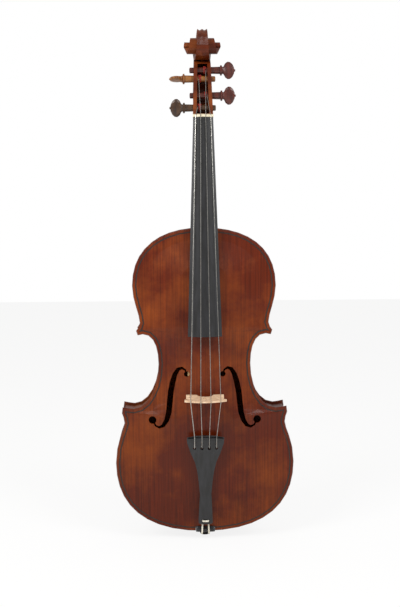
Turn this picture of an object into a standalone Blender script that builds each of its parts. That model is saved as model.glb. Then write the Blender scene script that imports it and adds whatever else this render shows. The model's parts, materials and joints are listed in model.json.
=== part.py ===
"""A small viola, built as its maker builds it: plates, ribs, blocks, linings, bass bar and sound post,
a neck with pegbox and scroll carved in one piece, and the fittings and strings that it carries.

Metres, +Z up towards the scroll. The front faces -Y and the treble side is +X. The origin is the centre
of the end button's flat face. Every piece is modelled from the bottom edge of the plates and hangs on one
empty, which lifts the whole by the length that the button stands out.
"""

import math
from typing import NamedTuple

import bmesh
import bpy
from mathutils import Vector
from mathutils.bvhtree import BVHTree

# Body outline, half widths and places along the body
BODY_LENGTH = 0.3800
UPPER_BOUT_HALF = 0.0884
UPPER_BOUT_DROP = 0.0710
UPPER_NARROW_HALF = 0.0794
UPPER_NARROW_DROP = 0.1165
UPPER_CORNER_HALF = 0.0841
UPPER_CORNER_DROP = 0.1264
UPPER_CORNER_WIDTH = 0.0059
WAIST_HALF = 0.0568
WAIST_SHARE = 0.60
LOWER_CORNER_HALF = 0.1028
LOWER_CORNER_LEVEL = 0.1584
LOWER_CORNER_WIDTH = 0.0076
LOWER_NARROW_HALF = 0.0997
LOWER_NARROW_LEVEL = 0.1385
LOWER_BOUT_HALF = 0.1109
LOWER_BOUT_LEVEL = 0.0880
HOOK_REACH = 0.0145

# Plates
RIB_HEIGHT = 0.0360
EDGE_THICKNESS = 0.0042
TOP_ARCH = 0.0134
BACK_ARCH = 0.0130
PLATE_THICKNESS = 0.0032
CHANNEL_DEPTH = 0.0006
EDGE_ROUND = 0.0010
PURFLING_FROM_EDGE = 0.0037
PURFLING_WIDTH = 0.0013
PURFLING_DEPTH = 0.0013
INLAY_GAP = 0.00015
BLOCK_SEAT = 0.0200
RIB_SEAT = 0.0085
BUTTON_TAB_HALF = 0.0115
BUTTON_TAB_REACH = 0.0115

# Ribs, linings and blocks
OVERHANG = 0.0028
RIB_THICKNESS = 0.0014
LINING_WIDTH = 0.0022
LINING_HEIGHT = 0.0070
END_BLOCK_HALF = 0.0270
END_BLOCK_DEPTH = 0.0180
GLUE_GAP = 0.0003

# Bass bar and sound post
BAR_THICKNESS = 0.0060
BAR_HEIGHT = 0.0110
BAR_END_HEIGHT = 0.0035
BAR_LENGTH = 0.2900
BAR_LEAN = 0.0040
POST_RADIUS = 0.0032
POST_BEHIND_BRIDGE = 0.0085

# Neck and fingerboard
NECK_LENGTH = 0.1350
ROOT_DEPTH = 0.0098
ROOT_FRONT_HALF = 0.0160
ROOT_BACK_HALF = 0.0120
GLUE_LINE_AT_NUT = -0.0171
GLUE_LINE_SLOPE = 0.0971
NECK_WOOD = 0.0135
BOARD_LENGTH = 0.2640
BOARD_HALF_AT_NUT = 0.0121
BOARD_HALF_AT_END = 0.02065
BOARD_SIDE = 0.0050
BOARD_RADIUS = 0.0420
BOARD_HOLLOW = 0.0030

# Nut
NUT_HALF = 0.0125
NUT_THICKNESS = 0.0040

# Pegbox and scroll
PEGBOX_HALF = 0.0124
THROAT_HALF = 0.01015
CHEEK = 0.0042
PEGBOX_FLOOR = 0.0046
CAVITY_START = 0.0030
CAVITY_LENGTH = 0.0625
EYE_ABOVE_NUT = 0.0860
EYE_BACK = 0.0065
SCROLL_RADIUS = 0.0245
SCROLL_TURN_RATIO = 0.538
SCROLL_SWELL = 0.0015
SCROLL_HOLLOW = 0.0009
SCROLL_FLUTE = 0.0017
SCROLL_STEP = 15
THROAT_ANGLE = 285
SCROLL_END_ANGLE = 900

# Pegs
PEG_SIDES = 16
PEG_TIP_RADIUS = 0.0034
PEG_HEAD_END_RADIUS = 0.0045
PEG_COLLAR_RADIUS = 0.0063
PEG_TIP_REACH = 0.0154
PEG_COLLAR_AT = 0.0217
PEG_LENGTH_OUT = 0.0400
PEG_HEAD_HALF = 0.0110
PEG_HEAD_THICKNESS = 0.0062
PEG_CLEARANCE = 0.0003

# Strings
STRING_SPREAD_AT_NUT = 0.0182
STRING_SPREAD_AT_BRIDGE = 0.0362
STRING_SPREAD_AT_TAIL = 0.0268
STRING_HOLE_RADIUS = 0.0019
WINDING_LOOPS = 2.25
WINDING_GAP = 0.00045
LOOP_POINTS = 24

# Bridge
BODY_STOP = 0.2066
BRIDGE_HEIGHT = 0.0331
BRIDGE_FEET_HALF = 0.0230
BRIDGE_TOP_HALF = 0.0254
BRIDGE_RADIUS = 0.0420
BRIDGE_TILT = 0.052
BRIDGE_FOOT_THICKNESS = 0.0045
BRIDGE_TOP_THICKNESS = 0.0018

# Tailpiece, tail gut, saddle and end button
TAILPIECE_TOP_LEVEL = 0.1280
TAILPIECE_BOTTOM_LEVEL = 0.0125
TAILPIECE_TOP_HALF = 0.0232
TAILPIECE_NARROW_HALF = 0.0071
TAILPIECE_FLARE_HALF = 0.0088
TAILPIECE_TOP_HEIGHT = 0.0520
TAILPIECE_BOTTOM_HEIGHT = 0.0335
TAILPIECE_THICKNESS = 0.0078
FRET_HEIGHT = 0.0020
GUT_RADIUS = 0.0010
GUT_HOLE_SPREAD = 0.0034
GUT_BAR_LEVEL = 0.0172
SADDLE_HALF = 0.0118
SADDLE_DEPTH = 0.0068
SADDLE_HEIGHT = 0.0040
BUTTON_STANDS_OUT = 0.0095
BUTTON_FACE_RADIUS = 0.0056
BUTTON_KNOB_RADIUS = 0.0066
BUTTON_GROOVE_RADIUS = 0.0042
BUTTON_SHANK_RADIUS = 0.0038
BUTTON_SHANK_LENGTH = 0.0140

MERGE = 0.00001
NUT_LEVEL = BODY_LENGTH + NECK_LENGTH
BRIDGE_LEVEL = BODY_LENGTH - BODY_STOP
EYE_LEVEL = NUT_LEVEL + EYE_ABOVE_NUT
RIB_FACE = RIB_HEIGHT / 2
BLOCK_FACE = RIB_FACE - GLUE_GAP
EDGE_FACE = RIB_FACE + EDGE_THICKNESS


class Peg(NamedTuple):
    """Where a peg sits: above the nut, its depth, and its head's side, turn and string."""

    name: str
    above_nut: float
    depth: float
    side: int
    head_turn: float
    material: str


class String(NamedTuple):
    """A string's order from the bass side (-1.5, -0.5, 0.5 or 1.5), its radius and its peg."""

    name: str
    order: float
    radius: float
    peg: int
    winding_at: float


PEGS = (
    Peg("peg_c", 0.0106, -0.0088, -1, 12.0, "olive_peg_wood"),
    Peg("peg_g", 0.0471, 0.0028, -1, 84.0, "light_peg_wood"),
    Peg("peg_d", 0.0580, 0.0062, 1, -8.0, "red_peg_wood"),
    Peg("peg_a", 0.0261, -0.0030, 1, 10.0, "red_peg_wood"),
)

STRINGS = (
    String("string_c", -1.5, 0.00055, 0, -0.0058),
    String("string_g", -0.5, 0.00045, 1, -0.0048),
    String("string_d", 0.5, 0.00042, 2, 0.0042),
    String("string_a", 1.5, 0.00035, 3, 0.0048),
)


class Knot(NamedTuple):
    """A point of the half outline, the place on the centre line that its ring line runs to, and the
    width of the plate's flat inner seat there."""

    x: float
    z: float
    target: float
    seat: float


class Run(NamedTuple):
    """A stretch of outline between two knots: how far its handles lie along x and z, as shares."""

    leave: tuple
    arrive: tuple
    steps: int


def clear_scene():
    """Remove what the scene holds."""
    for item in list(bpy.data.objects):
        bpy.data.objects.remove(item, do_unlink=True)


def make_collection(name):
    """Return a new collection linked to the scene."""
    group = bpy.data.collections.new(name)
    bpy.context.scene.collection.children.link(group)
    return group


def make_material(name, colour, roughness, metallic=0.0):
    """Return a Principled material of one colour."""
    material = bpy.data.materials.new(name)
    material.use_nodes = True
    shader = material.node_tree.nodes["Principled BSDF"]
    shader.inputs["Base Color"].default_value = (*colour, 1.0)
    shader.inputs["Roughness"].default_value = roughness
    shader.inputs["Metallic"].default_value = metallic
    return material


clear_scene()
VIOLA = make_collection("viola")
CUTTERS = make_collection("cutters")
FRAME = bpy.data.objects.new("body_frame", None)
FRAME.location = (0.0, 0.0, BUTTON_STANDS_OUT)
VIOLA.objects.link(FRAME)

MATERIALS = {
    "varnished_spruce": make_material("varnished_spruce", (0.20, 0.045, 0.012), 0.3),
    "varnished_maple": make_material("varnished_maple", (0.16, 0.05, 0.017), 0.3),
    "bare_spruce": make_material("bare_spruce", (0.62, 0.45, 0.26), 0.8),
    "bare_willow": make_material("bare_willow", (0.60, 0.47, 0.32), 0.8),
    "purfling": make_material("purfling", (0.03, 0.015, 0.01), 0.5),
    "ebony": make_material("ebony", (0.02, 0.02, 0.022), 0.4),
    "bone": make_material("bone", (0.75, 0.68, 0.52), 0.4),
    "bridge_maple": make_material("bridge_maple", (0.68, 0.50, 0.32), 0.6),
    "olive_peg_wood": make_material("olive_peg_wood", (0.07, 0.04, 0.02), 0.35),
    "light_peg_wood": make_material("light_peg_wood", (0.22, 0.10, 0.035), 0.35),
    "red_peg_wood": make_material("red_peg_wood", (0.14, 0.035, 0.02), 0.35),
    "string_metal": make_material("string_metal", (0.45, 0.44, 0.42), 0.3, 1.0),
    "red_silk": make_material("red_silk", (0.35, 0.04, 0.03), 0.7),
    "tail_gut": make_material("tail_gut", (0.80, 0.76, 0.66), 0.5),
}


def place(item, material, group=None):
    """Link a finished object, dress it and hang it on the body's frame."""
    (group or VIOLA).objects.link(item)
    item.parent = FRAME
    if group is CUTTERS:
        item.hide_render = True
        item.display_type = "WIRE"
    elif item.data.materials:
        item.data.materials[0] = MATERIALS[material]
    else:
        item.data.materials.append(MATERIALS[material])
    return item


def shade(mesh, degrees=35.0):
    """Shade a mesh smooth, with its corners kept sharp."""
    mesh.shade_smooth()
    mesh.set_sharp_from_angle(angle=math.radians(degrees))


def from_bmesh(name, mesh_data, material, group=None):
    """Turn a bmesh into a placed object with its faces pointing out."""
    bmesh.ops.remove_doubles(mesh_data, verts=mesh_data.verts, dist=MERGE)
    bmesh.ops.recalc_face_normals(mesh_data, faces=mesh_data.faces)
    mesh = bpy.data.meshes.new(name)
    mesh_data.to_mesh(mesh)
    mesh_data.free()
    shade(mesh)
    return place(bpy.data.objects.new(name, mesh), material, group)


def loft(name, rings, material, group=None):
    """Skin a row of closed rings of equal count and cap both ends."""
    mesh_data = bmesh.new()
    rows = [[mesh_data.verts.new(point) for point in ring] for ring in rings]
    count = len(rows[0])
    for lower, upper in zip(rows, rows[1:]):
        for index in range(count):
            following = (index + 1) % count
            mesh_data.faces.new((lower[index], lower[following], upper[following], upper[index]))
    mesh_data.faces.new(rows[0])
    mesh_data.faces.new(rows[-1])
    return from_bmesh(name, mesh_data, material, group)


def slab(name, outline, low, high, material, group=None):
    """Raise an (x, z) outline into a slab between two depths."""
    rings = [[(x, depth, z) for x, z in outline] for depth in (low, high)]
    return loft(name, rings, material, group)


def cylinder(name, centre, radius, length, axis, material, group=None, sides=PEG_SIDES):
    """A closed cylinder about an axis through its centre."""
    mesh_data = bmesh.new()
    bmesh.ops.create_cone(mesh_data, cap_ends=True, segments=sides, radius1=radius, radius2=radius,
                          depth=length)
    turn = Vector((0.0, 0.0, 1.0)).rotation_difference(Vector(axis))
    bmesh.ops.rotate(mesh_data, verts=mesh_data.verts, matrix=turn.to_matrix())
    bmesh.ops.translate(mesh_data, verts=mesh_data.verts, vec=centre)
    return from_bmesh(name, mesh_data, material, group)


def boolean(target, cutter, operation="DIFFERENCE"):
    """Cut or join one object with another, as a modifier."""
    modifier = target.modifiers.new(cutter.name, "BOOLEAN")
    modifier.operation = operation
    modifier.object = cutter


def tube(name, points, radius, material, cyclic=False, swell=None):
    """A round cord through points, with closed ends; swell maps a point's index to its thickness."""
    curve = bpy.data.curves.new(name, "CURVE")
    curve.dimensions = "3D"
    curve.bevel_depth = radius
    curve.bevel_resolution = 1
    curve.resolution_u = 1
    curve.use_fill_caps = not cyclic
    spline = curve.splines.new("POLY")
    spline.points.add(len(points) - 1)
    for index, point in enumerate(points):
        spline.points[index].co = (*point, 1.0)
        spline.points[index].radius = (swell or {}).get(index, 1.0)
    spline.use_cyclic_u = cyclic
    return place(bpy.data.objects.new(name, curve), material)


def blend(low, high, share):
    """The value a share of the way from low to high."""
    return low + (high - low) * share


def read_table(table, value):
    """Read a value between the rows of a small table of pairs."""
    for (here, now), (there, then) in zip(table, table[1:]):
        if value <= there:
            return blend(now, then, (value - here) / (there - here))
    return table[-1][1]


def bezier(start, first, second, end, share):
    """A point of a cubic curve."""
    rest = 1.0 - share
    return tuple(
        rest ** 3 * a + 3 * rest ** 2 * share * b + 3 * rest * share ** 2 * c + share ** 3 * d
        for a, b, c, d in zip(start, first, second, end))


def outline_knots():
    """The driving points of the half outline, from the top centre to the bottom centre."""
    top = BODY_LENGTH
    corner = top - UPPER_CORNER_DROP
    lean = 0.32 * UPPER_CORNER_WIDTH
    hook_up = corner - UPPER_CORNER_WIDTH * 0.73
    hook_down = LOWER_CORNER_LEVEL - 0.0022
    waist = blend(hook_down, hook_up, WAIST_SHARE)
    return (
        Knot(0.0, top, top - 0.062, BLOCK_SEAT),
        Knot(UPPER_BOUT_HALF, top - UPPER_BOUT_DROP, top - UPPER_BOUT_DROP, RIB_SEAT),
        Knot(UPPER_NARROW_HALF, top - UPPER_NARROW_DROP, top - 0.092, 0.0120),
        Knot(UPPER_CORNER_HALF, corner, top - 0.100, BLOCK_SEAT),
        Knot(UPPER_CORNER_HALF - lean, corner - UPPER_CORNER_WIDTH * 0.95, top - 0.104, BLOCK_SEAT),
        Knot(UPPER_CORNER_HALF - HOOK_REACH * 0.56, hook_up, top - 0.118, 0.0140),
        Knot(WAIST_HALF, waist, waist - 0.002, RIB_SEAT),
        Knot(LOWER_CORNER_HALF - HOOK_REACH, hook_down, LOWER_CORNER_LEVEL - 0.0084, 0.0140),
        Knot(LOWER_CORNER_HALF - 0.0010, LOWER_CORNER_LEVEL, LOWER_CORNER_LEVEL - 0.0264, BLOCK_SEAT),
        Knot(LOWER_CORNER_HALF, LOWER_CORNER_LEVEL - LOWER_CORNER_WIDTH,
             LOWER_CORNER_LEVEL - 0.0324, BLOCK_SEAT),
        Knot(LOWER_NARROW_HALF, LOWER_NARROW_LEVEL, LOWER_NARROW_LEVEL - 0.020, 0.0120),
        Knot(LOWER_BOUT_HALF, LOWER_BOUT_LEVEL, LOWER_BOUT_LEVEL + 0.002, RIB_SEAT),
        Knot(0.0, 0.0, 0.075, BLOCK_SEAT),
    )


OUTLINE_RUNS = (
    Run((0.611, 0.0), (0.0, 0.659), 10),
    Run((0.0, 0.411), (0.0, 0.233), 4),
    Run((0.0, 0.5), (0.33, 0.33), 2),
    Run((0.33, 0.33), (0.33, 0.33), 1),
    Run((0.33, 0.33), (0.33, 0.33), 1),
    Run((0.70, 0.0), (0.0, 0.56), 5),
    Run((0.0, 0.495), (0.587, 0.0), 6),
    Run((0.33, 0.0), (0.33, 0.33), 2),
    Run((0.33, 0.33), (0.33, 0.33), 1),
    Run((0.33, 0.33), (0.0, 0.5), 2),
    Run((0.0, 0.162), (0.0, 0.535), 4),
    Run((0.0, 0.598), (0.70, 0.0), 10),
)


def half_outline():
    """The points of the half outline, and the index of each knot among them."""
    knots = outline_knots()
    points = []
    marks = []
    for start, end, run in zip(knots, knots[1:], OUTLINE_RUNS):
        marks.append(len(points))
        reach = (end.x - start.x, end.z - start.z)
        first = (start.x + run.leave[0] * reach[0], start.z + run.leave[1] * reach[1])
        second = (end.x - run.arrive[0] * reach[0], end.z - run.arrive[1] * reach[1])
        for step in range(run.steps):
            share = step / run.steps
            x, z = bezier(start[:2], first, second, end[:2], share)
            points.append(Knot(x, z, blend(start.target, end.target, share),
                               blend(start.seat, end.seat, share)))
    marks.append(len(points))
    points.append(knots[-1])
    return points, marks


OUTLINE, MARKS = half_outline()
UPPER_TIP, UPPER_TIP_IN, LOWER_TIP_IN, LOWER_TIP = MARKS[3], MARKS[4], MARKS[8], MARKS[9]


def meet(point, along, other, across):
    """Where two lines in the plane cross."""
    turn = along.x * across.y - along.y * across.x
    gap = other - point
    return point + along * ((gap.x * across.y - gap.y * across.x) / turn)


def offset_outline(distance):
    """The half outline moved inwards by a distance, its corners mitred and, where the tip closes up,
    brought to one point."""
    flat = [Vector((knot.x, knot.z)) for knot in OUTLINE]
    before = [Vector((-flat[1].x, flat[1].y))] + flat[:-1]
    after = flat[1:] + [Vector((-flat[-2].x, flat[-2].y))]
    moved = []
    for previous, here, following in zip(before, flat, after):
        arriving = (here - previous).normalized()
        leaving = (following - here).normalized()
        inward = Vector((arriving.y, -arriving.x)) + Vector((leaving.y, -leaving.x))
        inward.normalize()
        square = max(inward.dot(Vector((arriving.y, -arriving.x))), 0.2)
        moved.append(here + inward * (distance / square))
    moved[0].x = 0.0
    moved[-1].x = 0.0
    for first in (UPPER_TIP, LOWER_TIP_IN):
        second = first + 1
        tip = flat[second] - flat[first]
        if (moved[second] - moved[first]).dot(tip) < 0.05 * tip.length_squared:
            point = meet(moved[first - 1], flat[first] - flat[first - 1],
                         moved[second + 1], flat[second + 1] - flat[second])
            moved[first] = point
            moved[second] = point.copy()
    return moved


def arch(target):
    """The share of the full arch that the centre line reaches at a place along the body."""
    middle = BODY_LENGTH / 2
    return 1.0 - 0.11 * ((target - middle) / (BODY_LENGTH / 3)) ** 2


def cross_arch(share):
    """The arch across the plate: hollow beside the channel, full at the centre line."""
    return math.sin(math.pi / 2 * share ** 1.15) ** 1.3


RING_SHARES = (0.15, 0.36, 0.64, 1.0)
INNER_SHARES = (0.40, 0.68, 1.0)


def plate_mesh(arch_height):
    """Half of a plate as an open grid, mirrored into a whole shell. Depth 0 is its inner face and its
    outside points to +Y."""
    groove_outer = PURFLING_FROM_EDGE
    groove_inner = PURFLING_FROM_EDGE + PURFLING_WIDTH + 2 * INLAY_GAP
    channel = EDGE_THICKNESS - CHANNEL_DEPTH
    groove_floor = channel - PURFLING_DEPTH - INLAY_GAP
    rim = [(offset_outline(inset), depth) for inset, depth in (
        (EDGE_ROUND * 0.8, 0.0), (0.0, EDGE_THICKNESS * 0.5), (EDGE_ROUND, EDGE_THICKNESS),
        (groove_outer, channel + CHANNEL_DEPTH * 0.3), (groove_outer, groove_floor),
        (groove_inner, groove_floor), (groove_inner, channel))]
    inner_edge = rim[-1][0]
    mesh_data = bmesh.new()
    columns = []
    for index, knot in enumerate(OUTLINE):
        root = inner_edge[index]
        centre = Vector((0.0, knot.target))
        line = (centre - root).length
        height = arch_height * arch(knot.target)
        seat = (knot.seat - groove_inner) / line
        column = []
        for share in reversed(INNER_SHARES):
            depth = channel + height * cross_arch(share) - PLATE_THICKNESS
            column.append((root.lerp(centre, share), max(depth, 0.0004)))
        column.append((root.lerp(centre, seat), 0.0))
        column.extend((ring[index], depth) for ring, depth in rim)
        for share in RING_SHARES:
            column.append((root.lerp(centre, share), channel + height * cross_arch(share)))
        columns.append([mesh_data.verts.new((place_.x, depth, place_.y)) for place_, depth in column])
    for left, right in zip(columns, columns[1:]):
        for low in range(len(left) - 1):
            corners = (left[low], left[low + 1], right[low + 1], right[low])
            mesh_data.faces.new(corners)
    bmesh.ops.remove_doubles(mesh_data, verts=mesh_data.verts, dist=MERGE)
    everything = mesh_data.verts[:] + mesh_data.edges[:] + mesh_data.faces[:]
    bmesh.ops.mirror(mesh_data, geom=everything, axis="X", merge_dist=MERGE)
    return mesh_data


def set_plate(mesh_data, side):
    """Move a plate's mesh to the front (-1) or the back (1) of the ribs."""
    for vertex in mesh_data.verts:
        vertex.co.y = side * (RIB_FACE + vertex.co.y)
    bmesh.ops.recalc_face_normals(mesh_data, faces=mesh_data.faces)
    return BVHTree.FromBMesh(mesh_data)


def band(first, last, outer, inner):
    """The corners of a strip along the outline, between two insets."""
    far = offset_outline(outer)[first:last + 1]
    near = offset_outline(inner)[first:last + 1]
    return far, near


def strip(name, far, near, low, high, side, material):
    """A bent strip, between two lines in plan and two depths, on the right (1) or left (-1)."""
    rings = [[(side * a.x, low, a.y), (side * b.x, low, b.y), (side * b.x, high, b.y),
              (side * a.x, high, a.y)] for a, b in zip(far, near)]
    return loft(name, rings, material)


def pull_back(far, near, gap, at_start):
    """Shorten a strip's end by a gap along its own run."""
    first, second = (0, 1) if at_start else (-1, -2)
    for line in (far, near):
        away = (line[second] - line[first]).normalized()
        line[first] = line[first] + away * gap
    return far, near


def purfling_strip(name, side, depth_side, first, last, material="purfling"):
    """An inlaid strip along the edge of one half of a plate."""
    outer = PURFLING_FROM_EDGE + INLAY_GAP
    far, near = band(first, last, outer, outer + PURFLING_WIDTH)
    top = RIB_FACE + EDGE_THICKNESS - CHANNEL_DEPTH
    low = depth_side * (top - PURFLING_DEPTH)
    high = depth_side * top
    return strip(name, far, near, low, high, side, material)


def back_purfling():
    """The back's purfling, one ring in its groove."""
    outer = PURFLING_FROM_EDGE + INLAY_GAP
    far = offset_outline(outer)
    near = offset_outline(outer + PURFLING_WIDTH)
    top = RIB_FACE + EDGE_THICKNESS - CHANNEL_DEPTH
    low = top - PURFLING_DEPTH
    around_far = far + [Vector((-p.x, p.y)) for p in reversed(far[1:-1])]
    around_near = near + [Vector((-p.x, p.y)) for p in reversed(near[1:-1])]
    mesh_data = bmesh.new()
    rings = []
    for a, b in zip(around_far, around_near):
        corners = ((a.x, low, a.y), (b.x, low, b.y), (b.x, top, b.y), (a.x, top, a.y))
        rings.append([mesh_data.verts.new(corner) for corner in corners])
    for ring, following in zip(rings, rings[1:] + rings[:1]):
        for index in range(4):
            after = (index + 1) % 4
            mesh_data.faces.new((ring[index], ring[after], following[after], following[index]))
    return from_bmesh("back_purfling", mesh_data, "purfling")


def glue_line(level):
    """The depth of the plane between neck and fingerboard at a level."""
    return GLUE_LINE_AT_NUT - GLUE_LINE_SLOPE * (NUT_LEVEL - level)


def root_profile(level, clearance):
    """The neck root's section at a level, in the plane across the neck, grown by a clearance."""
    front = glue_line(level)
    back = RIB_FACE - GLUE_GAP
    return [
        (-ROOT_FRONT_HALF - clearance, front, level), (ROOT_FRONT_HALF + clearance, front, level),
        (ROOT_BACK_HALF + clearance, back + clearance, level),
        (-ROOT_BACK_HALF - clearance, back + clearance, level),
    ]


def f_hole_outline(side):
    """One f-hole: two eyes joined by a stem that swells in the middle, as one closed outline.

    Returns the outlines of the stem and of the two eyes, in (x, z)."""
    route = (
        (0.0225, 0.2013, 0.0007), (0.0240, 0.2058, 0.0012), (0.0280, 0.2082, 0.0017),
        (0.0326, 0.2064, 0.0024), (0.0366, 0.2000, 0.0030), (0.0396, 0.1900, 0.0035),
        (0.0420, 0.1780, 0.0036), (0.0433, 0.1650, 0.0036), (0.0446, 0.1530, 0.0035),
        (0.0474, 0.1430, 0.0030), (0.0518, 0.1362, 0.0023), (0.0566, 0.1340, 0.0017),
        (0.0610, 0.1360, 0.0012), (0.0645, 0.1425, 0.0008),
    )
    shift = BRIDGE_LEVEL - 0.1734
    points = [Vector((x, z + shift)) for x, z, _ in route]
    left = []
    right = []
    for index, (_, _, half) in enumerate(route):
        along = (points[min(index + 1, len(points) - 1)] - points[max(index - 1, 0)]).normalized()
        across = Vector((-along.y, along.x)) * half
        left.append(points[index] + across)
        right.append(points[index] - across)
    stem = [(side * p.x, p.y) for p in left + right[::-1]]
    eyes = []
    for x, z, radius in ((0.0222, 0.2008, 0.0035), (0.0648, 0.1430, 0.0049)):
        eyes.append([(side * (x + radius * math.cos(turn * math.tau / 14)),
                      z + shift + radius * math.sin(turn * math.tau / 14)) for turn in range(14)])
    return stem, eyes


def cut_f_holes(top_plate):
    """Cut both f-holes through the top plate."""
    low = -(EDGE_FACE + TOP_ARCH + 0.004)
    high = -(RIB_FACE - 0.002)
    for side, word in ((-1, "bass"), (1, "treble")):
        stem, eyes = f_hole_outline(side)
        cutter = slab(f"f_hole_{word}", stem, low, high, None, CUTTERS)
        for index, eye in enumerate(eyes):
            joined = slab(f"f_hole_{word}_eye_{index}", eye, low, high, None, CUTTERS)
            boolean(cutter, joined, "UNION")
        boolean(top_plate, cutter)


def build_plates(root_cutter):
    """Top and back plates with their purfling. Returns the two surfaces, to seat pieces on."""
    top_mesh = plate_mesh(TOP_ARCH)
    top_surface = set_plate(top_mesh, -1)
    top_plate = from_bmesh("top_plate", top_mesh, "varnished_spruce")
    cut_f_holes(top_plate)
    boolean(top_plate, root_cutter)
    boolean(top_plate, saddle_cutter())

    back_mesh = plate_mesh(BACK_ARCH)
    back_surface = set_plate(back_mesh, 1)
    back_plate = from_bmesh("back_plate", back_mesh, "varnished_maple")
    boolean(back_plate, button_tab(), "UNION")

    for side, word in ((-1, "left"), (1, "right")):
        run = purfling_strip(f"top_purfling_{word}", side, -1, 0, len(OUTLINE) - 1)
        boolean(run, root_cutter)
        boolean(run, saddle_cutter(word))
    back_purfling()
    return top_surface, back_surface


def button_tab():
    """The back plate's button, a rounded tab that covers the neck heel's foot."""
    inset = 0.0001
    root = BODY_LENGTH - PURFLING_FROM_EDGE * 0.6
    straight = BODY_LENGTH + BUTTON_TAB_REACH - BUTTON_TAB_HALF
    outline = [(-BUTTON_TAB_HALF, root), (BUTTON_TAB_HALF, root)]
    for step in range(11):
        turn = math.pi * step / 10
        outline.append((BUTTON_TAB_HALF * math.cos(turn), straight + BUTTON_TAB_HALF * math.sin(turn)))
    return slab("button_tab", outline, RIB_FACE + inset, EDGE_FACE - 0.0003, None, CUTTERS)


def saddle_cutter(word="plate"):
    """The notch that the saddle is let into."""
    half = SADDLE_HALF + GLUE_GAP
    outline = [(-half, -0.002), (half, -0.002), (half, SADDLE_DEPTH + GLUE_GAP),
               (-half, SADDLE_DEPTH + GLUE_GAP)]
    return slab(f"saddle_notch_{word}", outline, -(EDGE_FACE + 0.004), -(RIB_FACE - 0.002), None,
                CUTTERS)


def build_ribs(root_cutter, button_cutter):
    """Six ribs. The bout ribs wrap the corner tips and the C ribs end just short of them."""
    inner = OVERHANG + RIB_THICKNESS
    for side, word in ((-1, "left"), (1, "right")):
        far, near = band(0, UPPER_TIP_IN, OVERHANG, inner)
        far, near = pull_back(far, near, GLUE_GAP, False)
        upper = strip(f"upper_rib_{word}", far, near, -BLOCK_FACE, BLOCK_FACE, side,
                      "varnished_maple")
        boolean(upper, root_cutter)
        far, near = band(UPPER_TIP_IN, LOWER_TIP_IN, OVERHANG, inner)
        strip(f"c_rib_{word}", far, near, -BLOCK_FACE, BLOCK_FACE, side, "varnished_maple")
        far, near = band(LOWER_TIP_IN, len(OUTLINE) - 1, OVERHANG, inner)
        far, near = pull_back(far, near, GLUE_GAP, True)
        far, near = pull_back(far, near, GLUE_GAP / 2, False)
        lower = strip(f"lower_rib_{word}", far, near, -BLOCK_FACE, BLOCK_FACE, side,
                      "varnished_maple")
        boolean(lower, button_cutter)


def block_outline(first, last, tip=None):
    """A corner block in plan: it fills the ribs' corner and is cut off straight inside."""
    inset = OVERHANG + RIB_THICKNESS + GLUE_GAP
    line = offset_outline(inset)
    skipped = () if tip is None else (tip,)
    return [(line[index].x, line[index].y) for index in range(first, last + 1) if index not in skipped]


def end_block_outline(at_top):
    """An upper or lower block in plan, round outside and straight inside."""
    inset = OVERHANG + RIB_THICKNESS + GLUE_GAP
    line = offset_outline(inset)
    if not at_top:
        line = line[::-1]
    edge = [Vector((0.0, line[0].y))]
    for here, there in zip(line, line[1:]):
        if there.x >= END_BLOCK_HALF:
            share = (END_BLOCK_HALF - here.x) / (there.x - here.x)
            edge.append(here.lerp(there, share))
            break
        edge.append(there)
    inner = line[0].y + (-1 if at_top else 1) * (OVERHANG + END_BLOCK_DEPTH)
    right = [(p.x, p.y) for p in edge]
    left = [(-x, z) for x, z in reversed(right[1:])]
    return left + right + [(END_BLOCK_HALF, inner), (-END_BLOCK_HALF, inner)]


UPPER_CORNER_BLOCK = (MARKS[2] - 1, MARKS[5] + 2)
LOWER_CORNER_BLOCK = (MARKS[7] - 1, MARKS[10] + 1)


def build_blocks(root_cutter, button_cutter):
    """Upper and lower block, and the four corner blocks."""
    upper = slab("upper_block", end_block_outline(True), -BLOCK_FACE, BLOCK_FACE, "bare_willow")
    boolean(upper, root_cutter)
    lower = slab("lower_block", end_block_outline(False), -BLOCK_FACE, BLOCK_FACE, "bare_willow")
    boolean(lower, button_cutter)
    for side, word in ((-1, "left"), (1, "right")):
        for name, ends, tip in (("upper", UPPER_CORNER_BLOCK, UPPER_TIP_IN),
                                ("lower", LOWER_CORNER_BLOCK, None)):
            plan = [(side * x, z) for x, z in block_outline(*ends, tip)]
            slab(f"{name}_corner_block_{word}", plan, -BLOCK_FACE, BLOCK_FACE, "bare_willow")


def build_linings():
    """Linings along every rib, front and back, between the blocks."""
    outer = OVERHANG + RIB_THICKNESS + GLUE_GAP
    line = offset_outline(outer)
    past_upper = next(i for i, p in enumerate(line) if p.x > END_BLOCK_HALF + GLUE_GAP)
    past_lower = max(i for i, p in enumerate(line) if p.x > END_BLOCK_HALF + GLUE_GAP)
    runs = (("upper", past_upper, UPPER_CORNER_BLOCK[0]),
            ("c", UPPER_CORNER_BLOCK[1], LOWER_CORNER_BLOCK[0]),
            ("lower", LOWER_CORNER_BLOCK[1], past_lower))
    for side, word in ((-1, "left"), (1, "right")):
        for name, first, last in runs:
            for face, low, high in (("front", -BLOCK_FACE, LINING_HEIGHT - BLOCK_FACE),
                                    ("back", BLOCK_FACE - LINING_HEIGHT, BLOCK_FACE)):
                far, near = band(first, last, outer, outer + LINING_WIDTH)
                far, near = pull_back(far, near, 2 * GLUE_GAP, True)
                far, near = pull_back(far, near, 2 * GLUE_GAP, False)
                strip(f"{name}_lining_{face}_{word}", far, near, low, high, side, "bare_willow")


def depth_at(surface, x, z, start, direction):
    """The depth at which a line along Y meets a plate."""
    hit = surface.ray_cast(Vector((x, start, z)), Vector((0.0, direction, 0.0)))
    return hit[0].y


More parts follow.
